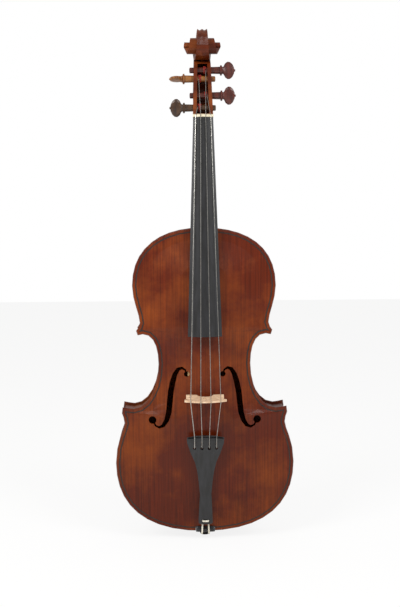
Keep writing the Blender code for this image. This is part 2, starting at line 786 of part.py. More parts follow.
def build_bass_bar(top_surface):
    """The bass bar: a long rib of spruce under the bass foot, its outer face cut to the plate."""
    stations = 13
    half = BAR_THICKNESS / 2
    middle = BRIDGE_LEVEL + 0.014
    rings = []
    for step in range(stations):
        share = step / (stations - 1)
        level = middle + BAR_LENGTH * (share - 0.5)
        x = -(BRIDGE_FEET_HALF - 0.005) + BAR_LEAN * (share - 0.5)
        ahead = BAR_LENGTH / (stations - 1) / 2
        seat = max(depth_at(top_surface, x + dx, level + dz, 0.0, -1.0)
                   for dx in (-half, 0.0, half) for dz in (-ahead, 0.0, ahead)) + GLUE_GAP
        height = blend(BAR_END_HEIGHT, BAR_HEIGHT, math.sin(math.pi * share) ** 0.8)
        inner = seat + height
        rings.append([(x - half, seat, level), (x + half, seat, level),
                      (x + half, inner - 0.001, level), (x + half * 0.4, inner, level),
                      (x - half * 0.4, inner, level), (x - half, inner - 0.001, level)])
    return loft("bass_bar", rings, "bare_spruce")


def build_sound_post(top_surface, back_surface):
    """The sound post, standing between the plates just behind the treble foot."""
    x = BRIDGE_FEET_HALF - 0.005
    level = BRIDGE_LEVEL - POST_BEHIND_BRIDGE
    around = [(x + POST_RADIUS * math.cos(turn * math.tau / 8),
               level + POST_RADIUS * math.sin(turn * math.tau / 8)) for turn in range(8)]
    front = max(depth_at(top_surface, a, b, 0.0, -1.0) for a, b in around) + GLUE_GAP
    back = min(depth_at(back_surface, a, b, 0.0, 1.0) for a, b in around) - GLUE_GAP
    cylinder("sound_post", (x, (front + back) / 2, level), POST_RADIUS, back - front, (0, 1, 0),
             "bare_spruce")


class Station(NamedTuple):
    """A section of the neck or pegbox: front and back points in (depth, level), its half widths, how
    round its back is, and the depth of the flutes in it."""

    front: tuple
    back: tuple
    front_half: float
    back_half: float
    roundness: float = 0.0
    flute: float = 0.0


def board_half(level):
    """Half of the fingerboard's width at a level."""
    share = (NUT_LEVEL - NUT_THICKNESS / 2 - level) / BOARD_LENGTH
    return blend(BOARD_HALF_AT_NUT, BOARD_HALF_AT_END, share)


def neck_stations():
    """The sections from the root in the upper block to the nut."""
    back = RIB_FACE - GLUE_GAP
    top = BODY_LENGTH
    root = Station((glue_line(top - ROOT_DEPTH), top - ROOT_DEPTH), (back, top - ROOT_DEPTH),
                   ROOT_FRONT_HALF, ROOT_BACK_HALF)
    rows = [root, Station((glue_line(top), top), (back, top), ROOT_FRONT_HALF, ROOT_BACK_HALF)]
    heel = (
        (0.0070, back, 0.0065, 0.0118, 0.0), (0.0110, back - 0.0009, 0.0110, 0.0108, 0.10),
        (0.0135, 0.0125, 0.0138, 0.0105, 0.30), (0.0170, 0.0050, 0.0172, 0.0110, 0.60),
        (0.0220, -0.0030, 0.0222, 0.0115, 0.85), (0.0290, -0.0088, 0.0292, 0.0120, 1.0),
    )
    for front_up, depth, back_up, half, roundness in heel:
        level = top + front_up
        rows.append(Station((glue_line(level), level), (depth, top + back_up), board_half(level),
                            half, roundness))
    for level in (top + 0.042, top + 0.080, NUT_LEVEL - 0.020, NUT_LEVEL - 0.007):
        front = glue_line(level)
        rows.append(Station((front, level), (front + NECK_WOOD, level), board_half(level), 0.011, 1.0))
    return rows


def pegbox_stations():
    """The sections from the nut to the throat, leaning back and growing deeper."""
    table = (
        (GLUE_LINE_AT_NUT + 0.0002, 0.0030, -0.0012, 0.0030, 0.8, 0.0),
        (-0.0162, 0.0065, 0.0042, 0.0095, 0.35, 0.0),
        (-0.0135, 0.0160, 0.0095, 0.0205, 0.10, 0.0003),
        (-0.0105, 0.0265, 0.0138, 0.0315, 0.0, 0.0008),
        (-0.0072, 0.0385, 0.0178, 0.0435, 0.0, 0.0013),
        (-0.0040, 0.0505, 0.0213, 0.0555, 0.0, SCROLL_FLUTE),
        (-0.0012, 0.0600, 0.0243, 0.0645, 0.0, SCROLL_FLUTE),
        (0.0030, 0.0668, 0.0264, 0.0715, 0.0, SCROLL_FLUTE),
    )
    rows = []
    for front, front_up, back, back_up, roundness, flute in table:
        half = blend(PEGBOX_HALF, THROAT_HALF, front_up / (EYE_ABOVE_NUT - 0.0147))
        rows.append(Station((front, NUT_LEVEL + front_up), (back, NUT_LEVEL + back_up), half, half,
                            roundness, flute))
    return rows


def station_points(station):
    """Nine points of a half section, from the front centre round to the back centre."""
    front = Vector(station.front)
    back = Vector(station.back)
    length = (back - front).length
    points = [(0.0, front), (station.front_half * 0.5, front), (station.front_half, front)]
    shares = (0.25, 0.5, 0.75, 1.0, 1.0, 1.0)
    widths = (1.0, 1.0, 1.0, 1.0, 0.5, 0.0)
    for index, (share, width) in enumerate(zip(shares, widths)):
        turn = math.pi / 2 * (index + 1) / 6
        box_x = blend(station.front_half, station.back_half, share) * width
        box_y = share - (station.flute / length if index == 4 else 0.0)
        x = blend(box_x, station.front_half * math.cos(turn) ** 0.85 if index < 5 else 0.0,
                  station.roundness)
        along = blend(box_y, math.sin(turn), station.roundness)
        points.append((x, front.lerp(back, along)))
    return [(x, place_.x, place_.y) for x, place_ in points]


SCROLL_HALVES = (
    (-75, THROAT_HALF), (0, 0.0081), (90, 0.0058), (180, 0.0070), (THROAT_ANGLE, THROAT_HALF),
    (360, 0.0119), (450, 0.0141), (540, 0.0163), (630, 0.0185), (720, 0.0203), (810, 0.0217),
    (SCROLL_END_ANGLE, 0.0227),
)


def scroll_radius(angle):
    """The spiral's radius about the eye, from the back of the head round and in."""
    radius = SCROLL_RADIUS * SCROLL_TURN_RATIO ** (angle / 360)
    if 0 < angle < THROAT_ANGLE:
        radius += SCROLL_SWELL * math.sin(math.pi * angle / THROAT_ANGLE)
    return radius


def scroll_point(radius, angle, half):
    """A point of the scroll from its radius and angle about the eye and its half width."""
    turn = math.radians(angle)
    return (half, EYE_BACK + radius * math.cos(turn), EYE_LEVEL + radius * math.sin(turn))


def terrace(angle, outer=None):
    """The side of one turn at an angle, from the next turn's foot out to the spiral's own edge."""
    half = read_table(SCROLL_HALVES, angle)
    hollow = SCROLL_HOLLOW * min((angle + 75) / 75, 1.0)
    inner = Vector(scroll_point(scroll_radius(angle + 360), angle, half - hollow))
    edge = Vector(outer or scroll_point(scroll_radius(angle), angle, half))
    points = [inner]
    for share in (0.25, 0.5, 0.75):
        middle = inner.lerp(edge, share)
        middle.x = half - hollow * (1.0 - share ** 2)
        points.append(middle)
    points.append(edge)
    return [tuple(point) for point in points]


def spine(angle, edge):
    """The back of a turn at an angle: from its edge over a flute to the ridge in the middle."""
    half = read_table(SCROLL_HALVES, angle)
    fade = 1.0 if angle < 200 else max(0.0, (THROAT_ANGLE - angle) / (THROAT_ANGLE - 200))
    radius = scroll_radius(angle)
    return [scroll_point(radius - SCROLL_FLUTE * fade, angle, half * 0.5),
            scroll_point(radius, angle, 0.0)]


def build_neck_scroll():
    """Neck, pegbox and scroll: one spiral sheet over half of the head, mirrored into one solid."""
    mesh_data = bmesh.new()

    def add(points):
        return [mesh_data.verts.new(point) for point in points]

    def skin(row, following):
        for a, b, c, d in zip(row, row[1:], following[1:], following):
            mesh_data.faces.new((a, b, c, d))

    rows = [add(station_points(station)) for station in neck_stations() + pegbox_stations()]
    throat = scroll_point(scroll_radius(THROAT_ANGLE), THROAT_ANGLE, THROAT_HALF)
    throat_back = (0.0284, NUT_LEVEL + 0.0780)
    throat_row = station_points(Station(throat[1:], throat_back, THROAT_HALF, THROAT_HALF, 0.0,
                                        SCROLL_FLUTE))
    rows.append(add(throat_row))
    for row, following in zip(rows, rows[1:]):
        skin(row, following)
    mesh_data.faces.new(rows[0])

    # From the throat to the back of the eye the side runs from the next turn's foot to the back line
    sheet = {}
    start = THROAT_ANGLE - 360
    sheet[start] = rows[-1][2:]
    for angle in range(start + SCROLL_STEP, SCROLL_END_ANGLE - 360 + 1, SCROLL_STEP):
        outer = None
        if angle < 0:
            share = (angle - start) / -start
            half = read_table(SCROLL_HALVES, angle)
            end = scroll_point(scroll_radius(0), 0, half)
            outer = (half, blend(throat_back[0], end[1], share), blend(throat_back[1], end[2], share))
        side = terrace(angle, outer)
        if angle < 0:
            side += [(side[-1][0] * 0.5, side[-1][1] - SCROLL_FLUTE, side[-1][2]),
                     (0.0, side[-1][1], side[-1][2])]
        elif angle <= THROAT_ANGLE:
            side += spine(angle, side[-1])
        sheet[angle] = add(side)
    angles = sorted(sheet)
    for angle, after in zip(angles, angles[1:]):
        skin(sheet[angle], sheet[after])

    # Walls step up from each turn to the next, and the last turn closes on the eye
    rim = {angle: points[4] for angle, points in sheet.items() if angle >= 0}
    for angle in range(SCROLL_END_ANGLE - 360 + SCROLL_STEP, SCROLL_END_ANGLE + 1, SCROLL_STEP):
        half = read_table(SCROLL_HALVES, angle)
        rim[angle] = mesh_data.verts.new(scroll_point(scroll_radius(angle), angle, half))
    for angle, after in zip(angles, angles[1:]):
        skin([sheet[angle][0], rim[angle + 360]], [sheet[after][0], rim[after + 360]])
    eye_half = read_table(SCROLL_HALVES, SCROLL_END_ANGLE)
    eye = mesh_data.verts.new((eye_half, EYE_BACK, EYE_LEVEL))
    last = SCROLL_END_ANGLE - 360
    around = [rim[angle] for angle in range(last, SCROLL_END_ANGLE + 1, SCROLL_STEP)]
    around += [sheet[last][0], *sheet[last][1:4], sheet[last][4]]
    for here, there in zip(around, around[1:]):
        mesh_data.faces.new((eye, here, there))

    bmesh.ops.remove_doubles(mesh_data, verts=mesh_data.verts, dist=MERGE)
    everything = mesh_data.verts[:] + mesh_data.edges[:] + mesh_data.faces[:]
    bmesh.ops.mirror(mesh_data, geom=everything, axis="X", merge_dist=MERGE)
    head = from_bmesh("neck_scroll", mesh_data, "varnished_maple")
    boolean(head, pegbox_cutter())
    for peg in PEGS:
        boolean(head, peg_hole(peg))
    return head


def pegbox_cutter():
    """The pegbox's cavity: open at the front, its floor parallel to the back."""
    rows = pegbox_stations()
    rings = []
    ends = (CAVITY_START, CAVITY_START + CAVITY_LENGTH)
    levels = [ends[0]] + [row.front[1] - NUT_LEVEL for row in rows[2:-1]] + [ends[1]]
    fronts = [(row.front[1] - NUT_LEVEL, row.front[0]) for row in rows]
    backs = [(row.front[1] - NUT_LEVEL, row.back[0]) for row in rows]
    lifts = [(row.front[1] - NUT_LEVEL, row.back[1] - row.front[1]) for row in rows]
    for up in levels:
        half = blend(PEGBOX_HALF, THROAT_HALF, up / (EYE_ABOVE_NUT - 0.0147)) - CHEEK
        front = Vector((read_table(fronts, up), NUT_LEVEL + up))
        back = Vector((read_table(backs, up), NUT_LEVEL + up + read_table(lifts, up)))
        inward = (front - back).normalized()
        floor = back + inward * PEGBOX_FLOOR
        mouth = front + inward * 0.008
        rings.append([(-half, mouth.x, mouth.y), (half, mouth.x, mouth.y),
                      (half * 0.9, floor.x, floor.y), (-half * 0.9, floor.x, floor.y)])
    return loft("pegbox_cavity", rings, None, CUTTERS)


def peg_radius(peg, x):
    """The radius of a peg's tapered shaft at a place across the pegbox."""
    share = (x * peg.side + PEG_TIP_REACH) / (PEG_TIP_REACH + PEG_COLLAR_AT)
    return blend(PEG_TIP_RADIUS, PEG_HEAD_END_RADIUS, share)


def peg_hole(peg):
    """The tapered hole of a peg through both cheeks."""
    level = NUT_LEVEL + peg.above_nut
    rings = []
    for x in (-0.018, 0.018):
        radius = peg_radius(peg, x) + PEG_CLEARANCE
        rings.append([(x, peg.depth + radius * math.cos(turn * math.tau / PEG_SIDES),
                       level + radius * math.sin(turn * math.tau / PEG_SIDES))
                      for turn in range(PEG_SIDES)])
    return loft(f"{peg.name}_hole", rings, None, CUTTERS)


def build_peg(peg):
    """A peg: tapered shaft, collar, neck and a flat leaf-shaped head, about its own axis."""
    out = PEG_LENGTH_OUT
    collar = PEG_COLLAR_AT
    thin = PEG_HEAD_THICKNESS / 2
    profile = (
        (-PEG_TIP_REACH - 0.0006, 0.0020, 0.0020), (-PEG_TIP_REACH, PEG_TIP_RADIUS, PEG_TIP_RADIUS),
        (collar, PEG_HEAD_END_RADIUS, PEG_HEAD_END_RADIUS),
        (collar + 0.0004, PEG_COLLAR_RADIUS, PEG_COLLAR_RADIUS),
        (collar + 0.0022, PEG_COLLAR_RADIUS, PEG_COLLAR_RADIUS),
        (collar + 0.0030, 0.0042, 0.0042), (collar + 0.0045, 0.0048, 0.0036),
        (out - 0.0118, PEG_HEAD_HALF * 0.80, thin), (out - 0.0088, PEG_HEAD_HALF, thin * 0.94),
        (out - 0.0058, PEG_HEAD_HALF * 0.97, thin * 0.90), (out - 0.0028, PEG_HEAD_HALF * 0.74, thin * 0.86),
        (out - 0.0008, PEG_HEAD_HALF * 0.36, thin * 0.80), (out - 0.0004, 0.0016, 0.0016),
        (out + 0.0008, 0.0012, 0.0012),
    )
    rings = []
    for x, tall, wide in profile:
        ring = []
        for step in range(PEG_SIDES):
            turn = step * math.tau / PEG_SIDES
            ring.append((peg.side * x, wide * math.cos(turn), tall * math.sin(turn)))
        rings.append(ring)
    item = loft(peg.name, rings, peg.material)
    item.location = (0.0, peg.depth, NUT_LEVEL + peg.above_nut)
    item.rotation_euler = (math.radians(peg.head_turn), 0.0, 0.0)
    return item


def string_at_nut(string):
    """Where a string's centre crosses the nut, in (x, depth)."""
    x = string.order * STRING_SPREAD_AT_NUT / 3
    level = NUT_LEVEL - NUT_THICKNESS / 2
    return x, board_top(x, level) - 0.0005 - string.radius


def board_top(x, level):
    """The depth of the fingerboard's playing surface."""
    half = board_half(level)
    edge = glue_line(level) - GLUE_GAP - BOARD_SIDE
    return edge - (math.sqrt(BOARD_RADIUS ** 2 - x ** 2) - math.sqrt(BOARD_RADIUS ** 2 - half ** 2))


def winding_radius(string):
    """The radius of a string's loops round its peg."""
    peg = PEGS[string.peg]
    return peg_radius(peg, string.winding_at) + GLUE_GAP + string.radius


def winding_turn(string):
    """The angle round the peg at which the string from the nut touches its first loop."""
    peg = PEGS[string.peg]
    radius = winding_radius(string)
    _, depth = string_at_nut(string)
    away = Vector((peg.depth - depth, peg.above_nut))
    return math.atan2(away.x, away.y) - math.asin(radius / away.length)


def build_winding(string):
    """The loops of a string round its peg, one unbroken tube that runs towards the middle."""
    peg = PEGS[string.peg]
    radius = winding_radius(string)
    pitch = 2 * string.radius + WINDING_GAP
    start = winding_turn(string)
    inward = -1 if string.winding_at > 0 else 1
    steps = round(WINDING_LOOPS * LOOP_POINTS)
    points = []
    for step in range(steps + 1):
        turn = start + math.tau * step / LOOP_POINTS
        x = string.winding_at + inward * pitch * step / LOOP_POINTS
        points.append(Vector((x, -radius * math.cos(turn), radius * math.sin(turn))))
    lead = 2 * string.radius
    first = Vector((0.0, -math.sin(start), -math.cos(start))) * lead
    end = start + math.tau * steps / LOOP_POINTS
    last = Vector((0.0, math.sin(end), math.cos(end))) * lead
    points = [points[0] + first] + points + [points[-1] + last]
    gap = least_gap(points, 2 * string.radius)
    print(f"{string.name}_winding: least gap between loops {gap * 1000:.2f} mm")
    item = tube(f"{string.name}_winding", points, string.radius, "red_silk")
    item.location = (0.0, peg.depth, NUT_LEVEL + peg.above_nut)
    return item


def least_gap(points, thickness):
    """The least distance between loops of a tube, measured on its points at least half a loop apart."""
    apart = LOOP_POINTS // 2
    nearest = min((points[i] - points[j]).length
                  for i in range(len(points)) for j in range(i + apart, len(points)))
    return nearest - thickness


def bridge_crown(x):
    """The depth of the bridge's top edge: a shallow arc, higher on the bass side."""
    sag = BRIDGE_RADIUS - math.sqrt(BRIDGE_RADIUS ** 2 - x ** 2)
    crest = -(EDGE_FACE - CHANNEL_DEPTH + TOP_ARCH)
    return crest - BRIDGE_HEIGHT + sag + BRIDGE_TILT * x


def tail_line(level):
    """The depth of the tailpiece's top surface along its middle."""
    share = (level - TAILPIECE_BOTTOM_LEVEL) / (TAILPIECE_TOP_LEVEL - TAILPIECE_BOTTOM_LEVEL)
    return -blend(TAILPIECE_BOTTOM_HEIGHT, TAILPIECE_TOP_HEIGHT, share)


FRET_LEVEL = TAILPIECE_TOP_LEVEL - 0.0026
HOLE_LEVEL = TAILPIECE_TOP_LEVEL - 0.0160


def fret_top(x):
    """The depth of the tailpiece fret's top edge."""
    return tail_line(FRET_LEVEL) - FRET_HEIGHT + 0.0035 * (x / TAILPIECE_TOP_HALF) ** 2


def build_string(string):
    """A string from just off its peg over nut, bridge and fret, to its knot under the tailpiece."""
    peg = PEGS[string.peg]
    radius = winding_radius(string)
    nut_x, nut_y = string_at_nut(string)
    turn = winding_turn(string)
    axis = Vector((string.winding_at, peg.depth, NUT_LEVEL + peg.above_nut))
    contact = axis + Vector((0.0, -radius * math.cos(turn), radius * math.sin(turn)))
    swept = math.hypot(radius, 2 * string.radius) + 2 * string.radius + GLUE_GAP * 1.5
    short = math.sqrt(swept ** 2 - radius ** 2)
    at_nut = Vector((nut_x, nut_y, NUT_LEVEL + 0.0002))
    back = (at_nut - contact).normalized()
    bridge_x = string.order * STRING_SPREAD_AT_BRIDGE / 3
    bridge_y = bridge_crown(bridge_x) - string.radius - GLUE_GAP
    crown_half = Vector((0.0, 0.0, BRIDGE_TOP_THICKNESS / 2 + GLUE_GAP))
    on_bridge = Vector((bridge_x, bridge_y, BRIDGE_LEVEL - BRIDGE_FOOT_THICKNESS * 0.41))
    on_bridge += Vector((0.0, 0.0, BRIDGE_TOP_THICKNESS / 2))
    tail_x = string.order * STRING_SPREAD_AT_TAIL / 3
    on_fret = Vector((tail_x, fret_top(tail_x) - string.radius - GLUE_GAP, FRET_LEVEL))
    under = tail_line(HOLE_LEVEL) + TAILPIECE_THICKNESS
    run = (on_bridge - at_nut).normalized()
    points = [contact + back * short, at_nut - (at_nut - contact) * 0.02,
              at_nut + run * 0.0022]
    points += [on_bridge + crown_half, on_bridge - crown_half]
    points += [on_fret + Vector((0.0, 0.0003, 0.0010)), on_fret + Vector((0.0, 0.0002, -0.0008))]
    hole_top = tail_line(HOLE_LEVEL) - 0.0012
    points += [Vector((tail_x, hole_top, HOLE_LEVEL + 0.0012)), Vector((tail_x, hole_top + 0.0018, HOLE_LEVEL))]
    points += [Vector((tail_x, under + 0.0002, HOLE_LEVEL)), Vector((tail_x, under + 0.0006, HOLE_LEVEL)),
               Vector((tail_x, under + 0.0026, HOLE_LEVEL)), Vector((tail_x, under + 0.0030, HOLE_LEVEL))]
    knot = 0.0022 / string.radius
    count = len(points)
    swell = {count - 3: knot * 0.8, count - 2: knot, count - 1: knot * 0.5}
    return tube(string.name, points, string.radius, "string_metal", swell=swell)


def build_fingerboard():
    """The fingerboard: arched on top, flat where the neck carries it, hollowed where it overhangs."""
    top = NUT_LEVEL - NUT_THICKNESS / 2
    rings = []
    overhang = BODY_LENGTH - 0.012
    for level, hollow in ((top, 0.0), (BODY_LENGTH + 0.06, 0.0), (overhang, 0.0),
                          (overhang - 0.012, BOARD_HOLLOW), (top - BOARD_LENGTH, BOARD_HOLLOW)):
        half = board_half(level)
        under = glue_line(level) - GLUE_GAP
        ring = [(-half, under, level)]
        for step in range(11):
            x = half * (step / 5 - 1.0)
            ring.append((x, board_top(x, level), level))
        ring.append((half, under, level))
        for share in (0.72, 0.30, -0.30, -0.72):
            depth = hollow * (1.0 if abs(share) < 0.5 else 0.55)
            ring.append((half * share, under - depth, level))
        rings.append(ring)
    return loft("fingerboard", rings, "ebony")


def build_nut():
    """The nut: a small block with an arched, sloping top and four slots."""
    half = NUT_THICKNESS / 2
    base = glue_line(NUT_LEVEL) - GLUE_GAP - 0.0002
    rings = []
    for step in range(9):
        x = NUT_HALF * (step / 4 - 1.0)
        crown = board_top(min(abs(x), BOARD_HALF_AT_NUT), NUT_LEVEL - half) - 0.0007
        rings.append([(x, base - 0.0003, NUT_LEVEL - half + GLUE_GAP), (x, crown + 0.0005, NUT_LEVEL - half + GLUE_GAP),
                      (x, crown, NUT_LEVEL - half * 0.5), (x, crown + 0.0002, NUT_LEVEL),
                      (x, crown + 0.0028, NUT_LEVEL + half), (x, base, NUT_LEVEL + half)])
    nut = loft("nut", rings, "bone")
    for string in STRINGS:
        x, depth = string_at_nut(string)
        run = Vector((string.order * STRING_SPREAD_AT_BRIDGE / 3,
                      bridge_crown(string.order * STRING_SPREAD_AT_BRIDGE / 3), BRIDGE_LEVEL))
        run = (run - Vector((x, depth, NUT_LEVEL))).normalized()
        slot = cylinder(f"{string.name}_slot", (x, depth, NUT_LEVEL), string.radius + GLUE_GAP,
                        4 * NUT_THICKNESS, run, None, CUTTERS, sides=10)
        boolean(nut, slot)
    return nut


def seat_depth(surface, x, level, reach):
    """The foremost depth of the top plate near a place, over a small reach."""
    return min(depth_at(surface, x + dx, level + dz, -0.12, 1.0)
               for dx in (-0.0008, 0.0, 0.0008) for dz in (-reach, 0.0, reach))


def build_bridge(top_surface):
    """The bridge: feet cut to the arch, with the heart and the two side cut-outs, thinner upwards."""
    crest = seat_depth(top_surface, 0.0, BRIDGE_LEVEL, 0.001)
    half_foot = BRIDGE_FOOT_THICKNESS / 2

    def foot(x):
        """Height of the plate under a foot, above the crest under the middle."""
        return crest - seat_depth(top_surface, x, BRIDGE_LEVEL, half_foot) + GLUE_GAP

    feet = BRIDGE_FEET_HALF
    top = BRIDGE_TOP_HALF
    scale = BRIDGE_HEIGHT / 0.0331
    sides = []
    for side in (1, -1):
        rows = [
            (0.0, 0.0088), (0.0045, 0.0080), (0.0080, 0.0052), (0.0095, 0.0022),
            (feet - 0.0130, foot(side * (feet - 0.0130))), (feet - 0.0065, foot(side * (feet - 0.0065))),
            (feet, foot(side * feet)), (feet + 0.0001, 0.0016), (feet - 0.0030, 0.0030),
            (feet - 0.0052, 0.0052), (feet - 0.0058, 0.0082), (feet - 0.0036, 0.0098),
            (feet - 0.0012, 0.0118), (feet - 0.0010, 0.0136), (feet - 0.0030, 0.0146),
            (feet - 0.0072, 0.0142), (feet - 0.0086, 0.0160), (feet - 0.0080, 0.0186),
            (feet - 0.0050, 0.0200), (feet - 0.0015, 0.0196), (top - 0.0010, 0.0206), (top, 0.0226),
        ]
        sides.append([(side * x, height * (1.0 if height < 0.003 else scale)) for x, height in rows])
    crown = []
    for step in range(13):
        x = top * (1 - step / 6)
        crown.append((x, crest - bridge_crown(x)))
    outline = sides[0] + crown + sides[1][:0:-1]
    heart = [(0.0, 0.0135), (0.0022, 0.0160), (0.0040, 0.0185), (0.0042, 0.0206), (0.0026, 0.0218),
             (0.0008, 0.0208), (0.0, 0.0192)]
    heart += [(-x, height) for x, height in reversed(heart[1:-1])]
    heart = [(x, height * scale) for x, height in heart]

    curve = bpy.data.curves.new("bridge_plan", "CURVE")
    curve.dimensions = "2D"
    curve.fill_mode = "BOTH"
    curve.extrude = half_foot
    for points in (outline, heart):
        spline = curve.splines.new("POLY")
        spline.points.add(len(points) - 1)
        for index, (x, height) in enumerate(points):
            spline.points[index].co = (x, height, 0.0, 1.0)
        spline.use_cyclic_u = True
    plan = bpy.data.objects.new("bridge_plan", curve)
    CUTTERS.objects.link(plan)
    evaluated = plan.evaluated_get(bpy.context.evaluated_depsgraph_get())
    mesh = bpy.data.meshes.new_from_object(evaluated)
    bpy.data.objects.remove(plan)
    mesh_data = bmesh.new()
    mesh_data.from_mesh(mesh)
    for vertex in mesh_data.verts:
        x, height, thick = vertex.co
        share = max(height, 0.0) / BRIDGE_HEIGHT
        if thick > 0:
            thick = blend(half_foot, BRIDGE_TOP_THICKNESS - half_foot * 0.82, share ** 0.8)
        else:
            thick = blend(-half_foot, -half_foot * 0.82, share)
        vertex.co = (x, crest - height, BRIDGE_LEVEL + thick)
    return from_bmesh("bridge", mesh_data, "bridge_maple")


TAILPIECE_WIDTHS = (
    (0.0, 1.0), (0.010, 0.97), (0.022, 0.80), (0.034, 0.58), (0.046, 0.46), (0.060, 0.385),
    (0.076, 0.325),
)


def tailpiece_half(level):
    """Half of the tailpiece's width at a level: wide, drawn in, and flared a little at its foot."""
    down = TAILPIECE_TOP_LEVEL - level
    if down <= TAILPIECE_WIDTHS[-1][0]:
        share = read_table(TAILPIECE_WIDTHS, down)
        lowest = TAILPIECE_WIDTHS[-1][1]
        return blend(TAILPIECE_NARROW_HALF, TAILPIECE_TOP_HALF, (share - lowest) / (1.0 - lowest)) \
            if share < 1.0 else TAILPIECE_TOP_HALF
    length = TAILPIECE_TOP_LEVEL - TAILPIECE_BOTTOM_LEVEL
    share = (down - TAILPIECE_WIDTHS[-1][0]) / (length - TAILPIECE_WIDTHS[-1][0])
    return blend(TAILPIECE_NARROW_HALF, TAILPIECE_FLARE_HALF, math.sin(math.pi / 2 * min(share, 1.0)))


def build_tailpiece():
    """The tailpiece: arched in section, with four keyhole slots and two holes for the tail gut."""
    length = TAILPIECE_TOP_LEVEL - TAILPIECE_BOTTOM_LEVEL
    downs = [0.0, 0.003, 0.010, 0.022, 0.034, 0.046, 0.060, 0.076, 0.090, length - 0.006,
             length - 0.0015, length]
    rings = []
    for down in downs:
        level = TAILPIECE_TOP_LEVEL - down
        half = tailpiece_half(level)
        if down == length:
            half *= 0.8
        middle = tail_line(level)
        edge = 0.0035 * (half / TAILPIECE_TOP_HALF) ** 2 + 0.0016
        thick = TAILPIECE_THICKNESS * (1.0 if down < 0.05 else 0.72)
        bow = 0.0030 * (half / TAILPIECE_TOP_HALF) if down < 0.001 else 0.0
        ring = []
        for share in (-1.0, -0.66, -0.33, 0.0, 0.33, 0.66, 1.0):
            ring.append((half * share, middle + edge * share ** 2, level - bow * (share ** 2)))
        for share in (1.0, 0.5, 0.0, -0.5, -1.0):
            under = middle + thick - (0.0022 if abs(share) < 0.9 and down < 0.08 else 0.0012)
            under = middle + edge + 0.0022 if abs(share) == 1.0 else under
            ring.append((half * share * 0.96, under, level - bow * (share ** 2)))
        rings.append(ring)
    tailpiece = loft("tailpiece", rings, "ebony")

    low = tail_line(TAILPIECE_TOP_LEVEL) - 0.01
    high = tail_line(TAILPIECE_BOTTOM_LEVEL) + 0.02
    for string in STRINGS:
        x = string.order * STRING_SPREAD_AT_TAIL / 3
        hole = [(x + STRING_HOLE_RADIUS * math.cos(turn * math.tau / 12 + math.tau / 4),
                 HOLE_LEVEL + STRING_HOLE_RADIUS * math.sin(turn * math.tau / 12 + math.tau / 4))
                for turn in range(12)]
        slot_half = string.radius + GLUE_GAP
        slot_end = HOLE_LEVEL + 0.0085
        keyhole = [(x + slot_half, slot_end), (x - slot_half, slot_end)] + \
                  [point for point in hole[1:]] if False else hole
        cutter = slab(f"{string.name}_hole", keyhole, low, high, None, CUTTERS)
        slot = [(x - slot_half, HOLE_LEVEL), (x + slot_half, HOLE_LEVEL), (x + slot_half, slot_end),
                (x - slot_half, slot_end)]
        boolean(cutter, slab(f"{string.name}_keyslot", slot, low + 0.0001, high - 0.0001, None, CUTTERS),
                "UNION")
        boolean(tailpiece, cutter)
    for side in (-1, 1):
        centre = (side * GUT_HOLE_SPREAD, tail_line(GUT_BAR_LEVEL), GUT_BAR_LEVEL)
        boolean(tailpiece, cylinder(f"gut_hole_{side}", centre, GUT_RADIUS + GLUE_GAP * 1.4, 0.03,
                                    (0, 1, 0), None, CUTTERS, sides=10))
    groove = tailpiece_fret_outline(GLUE_GAP)
    boolean(tailpiece, loft("fret_groove", groove, None, CUTTERS))
    return tailpiece


def tailpiece_fret_outline(grow):
    """The fret across the tailpiece, as rings along x, grown by a clearance."""
    rings = []
    for step in range(9):
        share = step / 4 - 1.0
        x = (TAILPIECE_TOP_HALF - 0.0012 + grow * 2) * share
        top = fret_top(x) - grow
        foot = tail_line(FRET_LEVEL) + 0.0035 * (x / TAILPIECE_TOP_HALF) ** 2 + 0.0012 + grow
        half = 0.0008 + grow
        level = FRET_LEVEL - 0.0020 * share ** 2
        rings.append([(x, foot, level - half), (x, foot, level + half), (x, top, level + half * 0.6),
                      (x, top, level - half * 0.6)])
    return rings


def build_tail_gut():
    """The tail gut: one loop through the tailpiece's two holes, over the saddle, round the button."""
    bar = tail_line(GUT_BAR_LEVEL) - GUT_RADIUS - GLUE_GAP
    under = tail_line(GUT_BAR_LEVEL) + TAILPIECE_THICKNESS * 0.72 + GUT_RADIUS
    over = -(EDGE_FACE + SADDLE_HEIGHT) - GUT_RADIUS - GLUE_GAP
    turn_level = -GUT_RADIUS - GLUE_GAP * 2
    hold = BUTTON_GROOVE_RADIUS + GUT_RADIUS + GLUE_GAP
    half = [
        (0.0, bar - 0.0001, GUT_BAR_LEVEL), (GUT_HOLE_SPREAD - 0.0012, bar, GUT_BAR_LEVEL),
        (GUT_HOLE_SPREAD - 0.0003, bar + 0.0004, GUT_BAR_LEVEL),
        (GUT_HOLE_SPREAD, bar + 0.0014, GUT_BAR_LEVEL), (GUT_HOLE_SPREAD, under - 0.0010, GUT_BAR_LEVEL),
        (GUT_HOLE_SPREAD, under - 0.0002, GUT_BAR_LEVEL - 0.0003),
        (GUT_HOLE_SPREAD, under + 0.0002, GUT_BAR_LEVEL - 0.0012),
        (GUT_HOLE_SPREAD + 0.0006, over, SADDLE_DEPTH - 0.0008),
        (GUT_HOLE_SPREAD + 0.0008, over, 0.0012), (GUT_HOLE_SPREAD + 0.0009, over + 0.0005, -0.0002),
        (GUT_HOLE_SPREAD + 0.0010, over + 0.0018, turn_level),
        (hold, -hold * 1.4, turn_level - 0.0002),
    ]
    for step in range(5):
        turn = math.pi / 2 * step / 4
        half.append((hold * math.cos(turn), hold * math.sin(turn), turn_level - 0.0002))
    points = half + [(-x, depth, level) for x, depth, level in reversed(half[1:-1])]
    points[len(half) - 1] = (0.0, hold, turn_level - 0.0002)
    return tube("tail_gut", points, GUT_RADIUS, "tail_gut", cyclic=True)


